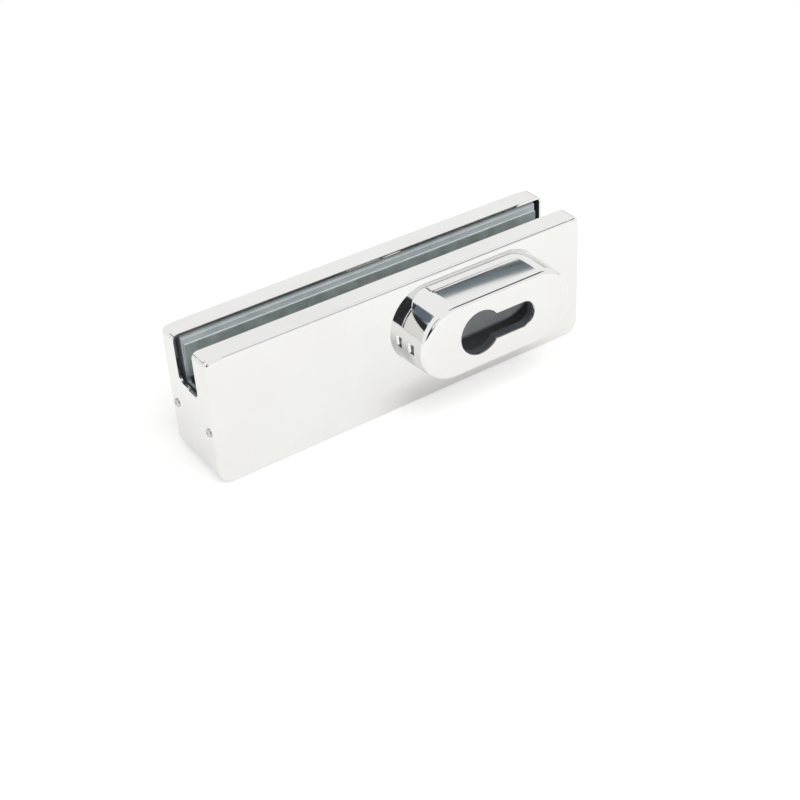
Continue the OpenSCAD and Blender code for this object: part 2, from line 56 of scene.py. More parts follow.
class Grain(Enum):
    """The way a surface's fine marks run, as a stretch of the pattern along X, Y and Z."""

    EVEN = (1.0, 1.0, 1.0)
    ALONG_Z = (1.0, 1.0, 0.04)


def linear(hex_colour: str) -> tuple[float, float, float, float]:
    """Turns an sRGB hex colour into Blender's linear one.

    Args:
        hex_colour: The colour as "#rrggbb".

    Returns:
        Linear red, green, blue and an alpha of 1.
    """
    parts = [int(hex_colour[i:i + 2], 16) / 255 for i in (1, 3, 5)]
    red, green, blue = (c / 12.92 if c <= 0.04045 else ((c + 0.055) / 1.055) ** 2.4 for c in parts)
    return red, green, blue, 1.0


def add_node(tree: bpy.types.NodeTree, kind: str, settings: dict[str | int, object] | None = None,
             links: dict[str | int, bpy.types.NodeSocket] | None = None) -> bpy.types.Node:
    """Adds a node with its settings and links.

    Args:
        tree: The material's or world's node tree.
        kind: Blender's name of the node type.
        settings: Values by the input's name or number, or else by the node's attribute.
        links: Sockets of other nodes by the input's name or number.

    Returns:
        The new node.
    """
    node = tree.nodes.new(kind)
    for name, value in (settings or {}).items():
        if isinstance(name, int) or name in node.inputs:
            node.inputs[name].default_value = value
        else:
            setattr(node, name, value)
    for name, socket in (links or {}).items():
        tree.links.new(socket, node.inputs[name])
    return node


def eased(tree: bpy.types.NodeTree, value: bpy.types.NodeSocket, start: float,
          end: float) -> bpy.types.NodeSocket:
    """Turns a value into 0 at the start and 1 at the end, with a smooth step between them."""
    ramp = {"interpolation_type": "SMOOTHSTEP", "From Min": start, "From Max": end}
    return add_node(tree, "ShaderNodeMapRange", ramp, {"Value": value}).outputs["Result"]


def joined(tree: bpy.types.NodeTree, operation: str, first: bpy.types.NodeSocket,
           second: bpy.types.NodeSocket) -> bpy.types.NodeSocket:
    """Joins two values by an operation of the Math node."""
    both = add_node(tree, "ShaderNodeMath", {"operation": operation}, {0: first, 1: second})
    return both.outputs[0]


def node_material(name: str) -> tuple[bpy.types.Material, bpy.types.NodeTree]:
    """Makes a material, its node tree still empty."""
    made = bpy.data.materials.new(name)
    made.use_nodes = True
    made.node_tree.nodes.clear()
    return made, made.node_tree


@dataclass(frozen=True)
class PaintedShade:
    """Painted shade: a greyer colour laid low on a drawn wall and near its foot, standing in for the shade it
    mirrors there.
    """

    colour: str
    clear_z: float
    full_z: float
    clear_y: float
    full_y: float
    flat_normal: float = -0.95
    wall_normal: float = -0.5

    def over(self, tree: bpy.types.NodeTree, place: bpy.types.NodeSocket,
             colour: bpy.types.NodeSocket) -> bpy.types.NodeSocket:
        """Lays the painted shade over a colour, on the walls and not on the flats that face forwards.

        Args:
            tree: The material's node tree.
            place: The place on the object.
            colour: The colour without the painted shade.

        Returns:
            The colour with the painted shade.
        """
        normal = add_node(tree, "ShaderNodeNewGeometry").outputs["Normal"]
        facing = add_node(tree, "ShaderNodeSeparateXYZ", links={"Vector": normal})
        spot = add_node(tree, "ShaderNodeSeparateXYZ", links={"Vector": place})
        reach = eased(tree, facing.outputs["Y"], self.flat_normal, self.wall_normal)
        for axis, clear, full in (("Z", self.clear_z, self.full_z), ("Y", self.clear_y, self.full_y)):
            reach = joined(tree, "MULTIPLY", reach, eased(tree, spot.outputs[axis], clear, full))
        mixed = add_node(tree, "ShaderNodeMix", {"data_type": "RGBA", MIX_B: linear(self.colour)},
                         {MIX_FACTOR: reach, MIX_A: colour})
        return mixed.outputs[MIX_RESULT]


@dataclass(frozen=True)
class Finish:
    """One material with the way its surface was made, some carrying painted shade; sizes of its pattern are
    in millimetres.
    """

    name: str
    colour: str
    shade: str
    metallic: float
    roughness: float
    rough_swing: float
    patch_mm: float
    grain_mm: float
    relief_mm: float
    grain: Grain = Grain.EVEN
    ior: float = 1.5
    painted_shade: PaintedShade | None = None
    patch_detail: float = 3.0
    patch_range: tuple[float, float] = (0.35, 0.65)
    grain_detail: float = 2.0

    def material(self) -> bpy.types.Material:
        """Builds the finish as a node material.

        Returns:
            A material whose colour drifts in patches, with its gloss and relief in the grain's own size.
        """
        made, tree = node_material(self.name)
        place = add_node(tree, "ShaderNodeTexCoord").outputs["Object"]
        drift = add_node(tree, "ShaderNodeTexNoise",
                         {"Scale": 1 / (self.patch_mm * MM), "Detail": self.patch_detail},
                         {"Vector": place})
        least, most = self.patch_range
        spread = add_node(tree, "ShaderNodeMapRange", {"From Min": least, "From Max": most},
                          {"Value": drift.outputs["Fac"]})
        mixed = add_node(tree, "ShaderNodeMix", {
            "data_type": "RGBA", MIX_A: linear(self.colour), MIX_B: linear(self.shade)},
            {MIX_FACTOR: spread.outputs["Result"]})
        colour = mixed.outputs[MIX_RESULT]
        # Painted shade: a greyer colour low on a drawn wall, near its foot.
        if self.painted_shade:
            colour = self.painted_shade.over(tree, place, colour)
        lay = add_node(tree, "ShaderNodeVectorMath", {"operation": "MULTIPLY", 1: self.grain.value},
                       {"Vector": place})
        marks = add_node(tree, "ShaderNodeTexNoise",
                         {"Scale": 1 / (self.grain_mm * MM), "Detail": self.grain_detail},
                         {"Vector": lay.outputs["Vector"]}).outputs["Fac"]
        gloss = add_node(tree, "ShaderNodeMapRange", {
            "To Min": max(0.0, self.roughness - self.rough_swing),
            "To Max": min(1.0, self.roughness + self.rough_swing)}, {"Value": marks})
        relief = add_node(tree, "ShaderNodeBump",
                          {"Strength": 1.0, "Distance": self.relief_mm * MM}, {"Height": marks})
        skin = add_node(tree, "ShaderNodeBsdfPrincipled", {"Metallic": self.metallic}, {
            "Base Color": colour, "Roughness": gloss.outputs["Result"],
            "Normal": relief.outputs["Normal"]})
        if self.metallic < 1:
            skin.inputs["IOR"].default_value = self.ior
        add_node(tree, "ShaderNodeOutputMaterial", links={"Surface": skin.outputs["BSDF"]})
        return made


# Stainless sheet, ground and buffed to a mirror: nearly white, it takes its look from the room,
# and the buffing leaves a wave too slow to see but for a slight swim in straight reflections.
MIRROR_STAINLESS = Finish("mirror_buffed_stainless", "#eaeae8", "#e7e6e4", metallic=1.0, roughness=0.035,
                          rough_swing=0.012, patch_mm=40, grain_mm=9, relief_mm=0.0016)
# The same sheet where it is drawn into the boss: the wheel can't press as hard on the raised wall, so what
# it mirrors has soft borders; low down near the wall's foot its colour is greyer, a painted shade.
DRAWN_MIRROR = replace(MIRROR_STAINLESS, name="mirror_buffed_drawn_wall", roughness=0.068, painted_shade=PaintedShade(
    "#bcbeba", clear_z=37 * MM, full_z=31 * MM, clear_y=-31 * MM, full_y=-26 * MM))
# The same sheet on its inside: dull dark grey, a painted shade for the hollows behind the cover.
INSIDE_STAINLESS_PAINTED_SHADE = Finish("stainless_inside_painted_shade", "#4a4d4e", "#3d4041", metallic=0.1, roughness=0.6,
                         rough_swing=0.1, patch_mm=12, grain_mm=0.8, relief_mm=0.004)
# Zinc alloy, pressure die-cast and tumbled: pale blue grey, with a fine orange-peel skin.
DIE_CAST_ZINC = Finish("tumbled_die_cast_zinc", "#c0c7ca", "#b1b9bc", metallic=0.15, roughness=0.5,
                       rough_swing=0.10, patch_mm=9, grain_mm=0.7, relief_mm=0.02)
# Zinc alloy of the boss core: dull and dark, a painted shade so it stays in the shade behind the hole.
CORE_ZINC_PAINTED_SHADE = Finish("zinc_core_painted_shade", "#4b5052", "#404446", metallic=0.0, roughness=0.7,
                      rough_swing=0.08, patch_mm=7, grain_mm=0.9, relief_mm=0.02, ior=1.3)
# Pressed fibre sheet: grey green, matt, with the short felted fibres just to be seen.
PRESSED_FIBRE = Finish("pressed_fibre", "#9ba4a4", "#878f8f", metallic=0.0, roughness=0.72,
                       rough_swing=0.12, patch_mm=5, grain_mm=0.35, relief_mm=0.03, ior=1.45)
# The fibre sheet's edges: paler than its pressed faces, a painted highlight along them.
FIBRE_EDGE_PAINTED_HIGHLIGHT = Finish("fibre_edge_painted_highlight", "#dae0e1", "#cad1d3", metallic=0.0, roughness=0.8,
                   rough_swing=0.1, patch_mm=3, grain_mm=0.25, relief_mm=0.03, ior=1.45)
# Moulded nitrile rubber: near black, with the faint bloom of its mould.
MOULDED_RUBBER = Finish("moulded_nitrile_rubber", "#2a2b2b", "#232424", metallic=0.0, roughness=0.58,
                        rough_swing=0.08, patch_mm=7, grain_mm=0.6, relief_mm=0.01, ior=1.52)
# Steel strip, phosphated and oiled: dark grey and dull, with a soft cloudiness.
PHOSPHATED_STEEL = Finish("phosphated_steel", "#5f6365", "#54585a", metallic=0.35, roughness=0.5,
                          rough_swing=0.08, patch_mm=6, grain_mm=0.5, relief_mm=0.004)
# Turned and headed screws, bright zinc over steel: livelier than the case, with fine marks of the tool.
BRIGHT_ZINC_STEEL = Finish("bright_zinc_plated_steel", "#c2c5c8", "#b6babd", metallic=1.0, roughness=0.22,
                           rough_swing=0.06, patch_mm=3, grain_mm=0.3, relief_mm=0.003)
# Drawn steel bar, ground along its travel: fine straight lines that stretch the highlights.
GROUND_STEEL = Finish("ground_steel_bar", "#cfcfcd", "#c4c4c2", metallic=1.0, roughness=0.24,
                      rough_swing=0.08, patch_mm=8, grain_mm=0.25, relief_mm=0.004, grain=Grain.ALONG_Z)
# Phosphor bronze strip, rolled: warm, satin, with lines along the strip.
ROLLED_BRONZE = Finish("rolled_phosphor_bronze", "#cf9d5c", "#bd8b4c", metallic=1.0, roughness=0.28,
                       rough_swing=0.08, patch_mm=5, grain_mm=0.2, relief_mm=0.003, grain=Grain.ALONG_Z)
# Small stainless screws, tumbled bright: a little greyer than the sheet round them.
TUMBLED_STAINLESS = Finish("tumbled_stainless_screw", "#cdccc8", "#bfbeba", metallic=1.0, roughness=0.16,
                           rough_swing=0.05, patch_mm=2, grain_mm=0.3, relief_mm=0.003)


@dataclass(frozen=True)
class RimPoint:
    """A point on an outline in X and Z, held as its corner's centre, radius and angle."""

    x: float
    z: float
    radius: float
    angle: float

    def at(self, inset: float, y: float) -> Vector:
        """Gives the point drawn in from its outline.

        Args:
            inset: How far the outline is drawn in.
            y: The point's place along Y.

        Returns:
            The place in the lock's frame.
        """
        reach = self.radius - inset
        turn = math.radians(self.angle)
        return Vector((self.x + reach * math.cos(turn), y, self.z + reach * math.sin(turn)))


def arc(x: float, z: float, radius: float, angles: list[float]) -> list[RimPoint]:
    """Gives points round one corner.

    Args:
        x: The corner's centre.
        z: The corner's centre.
        radius: The corner's radius.
        angles: The angles in degrees, from +X towards +Z.

    Returns:
        One point for each angle.
    """
    return [RimPoint(x, z, radius, a) for a in angles]


def steps(start: float, end: float, count: int) -> list[float]:
    """Gives evenly spaced values from start to end, both included."""
    return [start + (end - start) * i / count for i in range(count + 1)]


def ring_of(mesh: bmesh.types.BMesh, rim: list[RimPoint], inset: float,
            y: float) -> list[bmesh.types.BMVert]:
    """Adds one ring of vertices along an outline."""
    return [mesh.verts.new(p.at(inset, y)) for p in rim]


def wall_between(mesh: bmesh.types.BMesh, ring: list[bmesh.types.BMVert],
                 upper: list[bmesh.types.BMVert]) -> None:
    """Joins two closed rings of as many vertices by a wall of four-sided faces."""
    for i in range(len(ring)):
        j = (i + 1) % len(ring)
        mesh.faces.new([ring[i], ring[j], upper[j], upper[i]])


def fill_between(mesh: bmesh.types.BMesh, outer: list[bmesh.types.BMVert], outer_right: int,
                 inner: list[bmesh.types.BMVert], inner_right: int) -> None:
    """Fills the flat between two rings with a lower and an upper face that meet left and right.

    Args:
        mesh: The mesh to add to.
        outer: The outer ring, from its left point round below.
        outer_right: Index of the outer ring's right point.
        inner: The inner ring, in the same order.
        inner_right: Index of the inner ring's right point.
    """
    mesh.faces.new(outer[:outer_right + 1] + inner[inner_right::-1])
    mesh.faces.new(outer[outer_right:] + outer[:1] + inner[:1] + inner[:inner_right - 1:-1])


def keep_modifiers(piece: bpy.types.Object) -> None:
    """Writes a piece's modifiers into its mesh."""
    bpy.context.view_layer.update()
    seen = piece.evaluated_get(bpy.context.evaluated_depsgraph_get())
    shaped = bpy.data.meshes.new_from_object(seen)
    piece.modifiers.clear()
    piece.data = shaped


def modifier(piece: bpy.types.Object, kind: str, **settings: object) -> None:
    """Adds a modifier with its settings."""
    made = piece.modifiers.new(kind.lower(), kind)
    for name, value in settings.items():
        setattr(made, name, value)


def ease_edges(piece: bpy.types.Object, width: float) -> None:
    """Rounds the edges of a turned or die-cut piece."""
    modifier(piece, "BEVEL", width=width, segments=2, limit_method="ANGLE", angle_limit=ROUNDED_FROM)
    keep_modifiers(piece)


def wear(piece: bpy.types.Object, *materials: bpy.types.Material) -> None:
    """Gives a piece its materials; a piece that has none yet keeps which face wears which."""
    if len(piece.data.materials):
        piece.data.materials.clear()
    for material in materials:
        piece.data.materials.append(material)


def cut_away(piece: bpy.types.Object, cutter: bmesh.types.BMesh, **settings: object) -> None:
    """Cuts a cutter's shape out of a piece.

    Args:
        piece: The piece to cut.
        cutter: The shape to take away.
        **settings: More settings of the boolean modifier.
    """
    tool = object_of(cutter, "cutter")
    modifier(piece, "BOOLEAN", operation="DIFFERENCE", solver="EXACT", object=tool, **settings)
    keep_modifiers(piece)
    bpy.data.objects.remove(tool)


def object_of(mesh: bmesh.types.BMesh, name: str) -> bpy.types.Object:
    """Turns a bmesh into an object of the scene."""
    data = bpy.data.meshes.new(name)
    mesh.to_mesh(data)
    mesh.free()
    piece = bpy.data.objects.new(name, data)
    bpy.context.scene.collection.objects.link(piece)
    return piece


def smooth(piece: bpy.types.Object, sharp_over: float = 35.0) -> None:
    """Shades a piece smooth, with flat faces kept flat right up to their rounded edges.

    Args:
        piece: The piece, its modifiers already in its mesh.
        sharp_over: The angle in degrees past which an edge stays sharp.
    """
    piece.data.shade_smooth()
    piece.data.set_sharp_from_angle(angle=math.radians(sharp_over))
    modifier(piece, "WEIGHTED_NORMAL", mode="FACE_AREA", weight=100, keep_sharp=True)
    keep_modifiers(piece)


@dataclass
class Boss:
    """The oblong boss drawn out of the front cover, with its profile hole and clip windows."""

    x: float = 27.2 * MM
    z: float = 33.5 * MM
    reach: float = 19.1 * MM
    radius: float = 15.9 * MM
    out: float = 19.5 * MM
    front_r: float = 2.3 * MM
    # Heights over the cover's face, each with how far in degrees the wall leans in there.
    bends: tuple[tuple[float, float], ...] = (
        (5.9 * MM, 0.0), (6.05 * MM, 2.4), (6.25 * MM, 2.4), (6.4 * MM, 0.8), (7.1 * MM, 0.8),
        (7.3 * MM, 2.3), (17.2 * MM, 4.4))
    # More heights at which the wall gets a row of faces, so that its mirror bends evenly.
    rows_mm: tuple[float, ...] = (
        5.6, 5.98, 6.15, 6.32, 6.75, 7.2, 7.6, 8.2, 9.0, 10.2, 12.6, 13.4, 15.2, 16.2)
    plug_x: float = 19.15 * MM
    plug_r: float = 9.05 * MM
    leg_half: float = 5.4 * MM
    leg_end_x: float = 38.9 * MM
    window_half_z: float = 2.1 * MM
    window_slack: float = 0.01 * MM
    windows: tuple[tuple[float, float], ...] = ((4.1 * MM, 7.1 * MM), (11.2 * MM, 14.2 * MM))
    window_steps: int = 3
    quarter_steps: int = 36
    plug_steps: int = 28
    leg_steps: int = 24
    fillet_steps: int = 14

    def rim(self) -> list[RimPoint]:
        """Gives the boss's outline from its left point round below, with points at the windows' edges."""
        edge = 180 + math.degrees(math.asin(self.window_half_z / self.radius))
        left, right = self.x - self.reach, self.x + self.reach
        low = (steps(180, edge, self.window_steps)
               + steps(edge, 270, self.quarter_steps - self.window_steps)[1:])
        high = [360 - a for a in reversed(low)]
        return (arc(left, self.z, self.radius, low)
                + arc(right, self.z, self.radius, steps(270, 360, self.quarter_steps))
                + arc(right, self.z, self.radius, steps(0, 90, self.quarter_steps)[1:])
                + arc(left, self.z, self.radius, high[:-1]))

    def hole(self) -> list[RimPoint]:
        """Gives the profile hole's outline from its left point round below."""
        meet = math.degrees(math.asin(self.leg_half / self.plug_r))
        return (arc(self.plug_x, self.z, self.plug_r, steps(180, 360 - meet, self.plug_steps))
                + arc(self.leg_end_x, self.z, self.leg_half, steps(-90, 90, self.leg_steps))
                + arc(self.plug_x, self.z, self.plug_r, steps(meet, 180, self.plug_steps)[:-1]))

    def levels(self) -> list[tuple[float, float]]:
        """Gives the wall's inset and height over the cover's face, from the face to the front."""
        wall_end = self.out - self.front_r
        marks = sorted({0.0, wall_end, *(w for pair in self.windows for w in pair),
                        *(t for t, _ in self.bends), *(t * MM for t in self.rows_mm)})
        made = [(0.0, 0.0)]
        for t, t_up in zip(marks, marks[1:]):
            lean = math.tan(math.radians(self._slope((t + t_up) / 2)))
            made.append((made[-1][0] + lean * (t_up - t), t_up))
        base, slope = made[-1][0], self._slope(wall_end)
        first = math.radians(slope)
        for a in steps(slope, 90, self.fillet_steps)[1:]:
            turn = math.radians(a)
            rise = (math.sin(turn) - math.sin(first)) / (1 - math.sin(first))
            made.append((base + self.front_r * (math.cos(first) - math.cos(turn)),
                         wall_end + self.front_r * rise))
        return made

    def _slope(self, t: float) -> float:
        """Gives how far in degrees the wall leans in at a height: a ripple low down, then more and more."""
        for (low, lean), (high, lean_up) in zip(self.bends, self.bends[1:]):
            if low <= t <= high:
                return lean + (lean_up - lean) * (t - low) / (high - low)
        return 0.0 if t < self.bends[0][0] else self.bends[-1][1]

    def draw(self, mesh: bmesh.types.BMesh, face_y: float) -> tuple[list[bmesh.types.BMVert], int]:
        """Adds the boss to a cover's mesh.

        Args:
            mesh: The cover's mesh.
            face_y: The cover's face along Y.

        Returns:
            The ring where the boss leaves the face, and the index of its right point.
        """
        rim, levels, hole = self.rim(), self.levels(), self.hole()
        rings = [ring_of(mesh, rim, inset, face_y - t) for inset, t in levels]
        right = next(i for i, p in enumerate(rim) if p.x > self.x and p.angle == 360)
        behind_window = [self._behind_window(p, q) for p, q in zip(rim, rim[1:] + rim[:1])]
        for (_, t), ring, (_, t_up), upper in zip(levels, rings, levels[1:], rings[1:]):
            open_row = any(low - TOUCH < t and t_up < high + TOUCH for low, high in self.windows)
            for i, behind in enumerate(behind_window):
                j = (i + 1) % len(rim)
                if not (open_row and behind):
                    mesh.faces.new([ring[i], ring[j], upper[j], upper[i]])
        hole_right = next(i for i, p in enumerate(hole) if p.x == self.leg_end_x and abs(p.angle) < TOUCH)
        fill_between(mesh, rings[-1], right, ring_of(mesh, hole, 0, face_y - self.out), hole_right)
        return rings[0], right

    def _behind_window(self, point: RimPoint, following: RimPoint) -> bool:
        """Says whether a step of the outline lies where the clip windows are."""
        middle = (point.at(0, 0) + following.at(0, 0)) / 2
        high = abs(middle.z - self.z)
        return middle.x < self.x - self.reach and high < self.window_half_z + self.window_slack


@dataclass
class Cover:
    """One stamped cover of polished stainless sheet, drawn as the front one."""

    node: str
    body: str
    wall_top: float
    boss: Boss | None = None
    rear: bool = False
    half: float = 82.5 * MM
    height: float = 52.0 * MM
    face_y: float = -16.3 * MM
    rim_y: float = -7.0 * MM
    seam_y: float = -0.05 * MM
    sheet: float = 1.16 * MM
    low_r: float = 5.5 * MM
    top_r: float = 2.5 * MM
    edge_r: float = 1.2 * MM
    ball_r: float = 1.9 * MM
    ease: float = 5.0 * MM
    slot_r: float = 2.5 * MM
    slit_w: float = 0.24 * MM
    slit_from: float = 6.2 * MM
    open_x: tuple[float, float] = (-19.5 * MM, 9.5 * MM)
    open_y: float = -5.8 * MM
    screw_y: float = -12.0 * MM
    screw_z: float = 21.3 * MM
    screw_r: float = 1.35 * MM
    screw_cut: float = 6.0 * MM
    edge: float = 0.22 * MM
    edge_steps: int = 3
    edge_from: float = math.radians(40)
    fold_gap: float = 0.4 * MM
    rim_gap: float = 0.6 * MM
    face_gap: float = 0.02 * MM
    low_steps: int = 14
    top_steps: int = 12
    ease_steps: int = 8
    bend_steps: int = 9
    slot_steps: int = 8

    def rim(self) -> list[RimPoint]:
        """Gives the cover's outline from its left end wall's step round below."""
        upper = steps(0, 90, self.top_steps)
        left, right = self.low_r - self.half, self.half - self.low_r
        top_left, top_right, top = self.top_r - self.half, self.half - self.top_r, self.height - self.top_r
        ease = steps(0, self.ease, self.ease_steps)[1:]
        slot_z = self.wall_top + self.slot_r
        return ([RimPoint(left, z, self.low_r, 180) for z in (slot_z, self.wall_top)]
                + arc(left, self.low_r, self.low_r, steps(180, 270, self.low_steps))
                + [RimPoint(x, self.low_r, self.low_r, 270) for x in self.open_x]
                + arc(right, self.low_r, self.low_r, steps(270, 360, self.low_steps))
                + [RimPoint(right, z, self.low_r, 360) for z in (self.wall_top, slot_z)]
                + [RimPoint(top_right, top - back, self.top_r, 0) for back in reversed(ease)]
                + arc(top_right, top, self.top_r, upper)
                + [RimPoint(top_right - back, top, self.top_r, 90) for back in ease]
                + [RimPoint(top_left + back, top, self.top_r, 90) for back in reversed(ease)]
                + arc(top_left, top, self.top_r, [a + 90 for a in upper])
                + [RimPoint(top_left, top - back, self.top_r, 180) for back in ease])

    def skin(self) -> bmesh.types.BMesh:
        """Builds the cover's outer skin as one open surface.

        Returns:
            The skin, with its faces pointing outwards.
        """
        mesh = bmesh.new()
        rim = self.rim()
        bends = [self._bend_at(p) for p in rim]
        right = next(i for i, p in enumerate(rim) if p.z == self.wall_top and p.angle == 360)
        first_open = next(i for i, p in enumerate(rim) if p.x == self.open_x[0])
        rings = [ring_of(mesh, rim, 0.0, self.rim_y)]
        for a in steps(0, 90, self.bend_steps):
            inward, back = 1 - math.cos(math.radians(a)), 1 - math.sin(math.radians(a))
            rings.append([mesh.verts.new(p.at(r * inward, self.face_y + r * back))
                          for p, r in zip(rim, bends)])
        for ring, upper in zip(rings, rings[1:]):
            wall_between(mesh, ring, upper)
        self._wall_below_slot(mesh, rim, rings[0], right, first_open)
        if self.boss:
            base, base_right = self.boss.draw(mesh, self.face_y)
            fill_between(mesh, rings[-1], right, base, base_right)
        else:
            mesh.faces.new(rings[-1])
        bmesh.ops.recalc_face_normals(mesh, faces=mesh.faces)
        widest = max(mesh.faces, key=lambda f: f.calc_area())
        if widest.normal.y > 0:
            bmesh.ops.reverse_faces(mesh, faces=mesh.faces)
        return mesh

    def _bend_at(self, point: RimPoint) -> float:
        """Gives the front edge's radius: the two top corners, where edges meet, are ground into a ball."""
        away = max(self.height - self.top_r - point.z, self.half - self.top_r - abs(point.x), 0.0)
        part = max(0.0, 1 - away / self.ease)
        return self.edge_r + (self.ball_r - self.edge_r) * part * part * (3 - 2 * part)

    def _wall_below_slot(self, mesh: bmesh.types.BMesh, rim: list[RimPoint], ring: list[bmesh.types.BMVert],
                         right: int, first_open: int) -> None:
        """Adds the walls that close the slot's lower part, down to the seam, round the bolt's opening."""
        seam = {i: mesh.verts.new(rim[i].at(0, self.seam_y)) for i in range(1, right + 1)}
        notch = {i: mesh.verts.new(rim[i].at(0, self.open_y)) for i in (first_open, first_open + 1)}
        for wall, up in ((1, 0), (right, right + 1)):
            round_off = []
            for a in steps(270, 180, self.slot_steps)[:-1]:
                turn = math.radians(a)
                y = self.rim_y + self.slot_r * (1 + math.cos(turn))
                z = self.wall_top + self.slot_r * (1 + math.sin(turn))
                round_off.append(mesh.verts.new(replace(rim[wall], z=z).at(0, y)))
            mesh.faces.new([ring[up], ring[wall], seam[wall]] + round_off)
        for i in range(1, right):
            j = i + 1
            if i == first_open:
                mesh.faces.new([ring[i], notch[i], notch[j], ring[j]])
                continue
            corner = [ring[i]] + ([notch[i]] if i in notch else []) + [seam[i], seam[j]]
            mesh.faces.new(corner + ([notch[j]] if j in notch else []) + [ring[j]])

    def cut_screw_holes(self, piece: bpy.types.Object) -> None:
        """Cuts the holes of the small end screws out of both end walls."""
        for side in (-1, 1):
            cutter = bmesh.new()
            place = Matrix.Translation((side * self.half, self.screw_y, self.screw_z))
            bmesh.ops.create_cone(cutter, cap_ends=True, segments=ROUND_STEPS, radius1=self.screw_r,
                                  radius2=self.screw_r, depth=self.screw_cut,
                                  matrix=place @ Matrix.Rotation(math.radians(90), 4, "Y"))
            cut_away(piece, cutter)

    def mark_edges(self, piece: bpy.types.Object) -> None:
        """Marks the sheet's cut edges for rounding, and leaves out the folds inside its top corners."""
        mesh = bmesh.new()
        mesh.from_mesh(piece.data)
        weight = mesh.edges.layers.float.new("bevel_weight_edge")
        reach = self.top_r + self.ease + self.fold_gap
        corner_x, corner_z, fold_y = self.half - reach, self.height - reach, self.rim_y - self.rim_gap
        for cut in mesh.edges:
            inside_fold = all(abs(v.co.x) > corner_x and v.co.z > corner_z and v.co.y < fold_y
                              for v in cut.verts)
            if not inside_fold and cut.calc_face_angle(0.0) > self.edge_from:
                cut[weight] = 1.0
        mesh.to_mesh(piece.data)
        mesh.free()

    def cut_slits(self, piece: bpy.types.Object) -> None:
        """Cuts the relief slit of each top corner, where the sheet was folded round it, in from the rim."""
        across, past_rim = 4 * MM, 1 * MM
        along = self.rim_y - self.face_y - self.slit_from + past_rim
        for side, turn in ((-1, -135), (1, -45)):
            cutter = bmesh.new()
            bmesh.ops.create_cube(cutter, size=1.0)
            cutter.transform(Matrix.Diagonal((across, along, self.slit_w, 1.0)))
            middle_y = self.face_y + self.slit_from + along / 2
            corner = (side * (self.half - self.top_r), 0.0, self.height - self.top_r)
            cutter.transform(Matrix.Translation((across / 2, middle_y, 0.0)))
            cutter.transform(Matrix.Translation(corner) @ Matrix.Rotation(math.radians(turn), 4, "Y"))
            cut_away(piece, cutter)

    def _part_of(self, piece: bpy.types.Object, name: str, raised: bool) -> bpy.types.Object:
        """Copies the raised boss, or all the rest, out of the finished sheet.

        Args:
            piece: The whole sheet.
            name: The new piece's name.
            raised: True for the boss, False for the rest.

        Returns:
            The new piece.
        """
        mesh = bmesh.new()
        mesh.from_mesh(piece.data)
        foot_y = self.face_y - self.face_gap
        out = [f for f in mesh.faces if (f.calc_center_median().y < foot_y) != raised]
        bmesh.ops.delete(mesh, geom=out, context="FACES")
        return object_of(mesh, name)

    def build(self, finish: bpy.types.Material, drawn: bpy.types.Material,
              inside: bpy.types.Material) -> None:
        """Makes the cover and puts it in its CAD node's place, its boss as a piece of its own.

        Args:
            finish: The material of the sheet's outside.
            drawn: The material of the boss's outside.
            inside: The material of the sheet's inside.
        """
        piece = object_of(self.skin(), self.node + "_sheet")
        wear(piece, finish, inside)
        modifier(piece, "SOLIDIFY", thickness=self.sheet, offset=-1, use_quality_normals=True,
                 material_offset=1)
        keep_modifiers(piece)
        self.cut_screw_holes(piece)
        self.mark_edges(piece)
        modifier(piece, "BEVEL", width=self.edge, segments=self.edge_steps, limit_method="WEIGHT",
                 use_clamp_overlap=False)
        keep_modifiers(piece)
        self.cut_slits(piece)
        made = [piece]
        if self.boss:
            made = [self._part_of(piece, self.node + "_face", False),
                    self._part_of(piece, self.node + "_boss", True)]
            for part, outside in zip(made, (finish, drawn)):
                wear(part, outside, inside)
            bpy.data.objects.remove(piece)
            # The flat in front stays as clean as in the photograph: it doesn't mirror the boss beside it.
            made[1].visible_glossy = False
        for part in made:
            if self.rear:
                part.data.transform(Matrix.Diagonal((1, -1, 1, 1)))
                part.data.flip_normals()
            smooth(part)
            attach(part, self.body)
            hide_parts(self.node)
            LOG.info("%s: %d faces", part.name, len(part.data.polygons))


@dataclass
class Covers:
    """The pair of covers that clasp the clamp."""

    front: Cover = field(default_factory=lambda: Cover("front_cover", "lock_body", 32.8 * MM, Boss()))
    back: Cover = field(default_factory=lambda: Cover("rear_cover", "lock_body", 33.6 * MM, rear=True))

    def build(self) -> None:
        """Makes both covers of the same sheet."""
        sides = (MIRROR_STAINLESS.material(), DRAWN_MIRROR.material(), INSIDE_STAINLESS_PAINTED_SHADE.material())
        self.front.build(*sides)
        self.back.build(*sides)


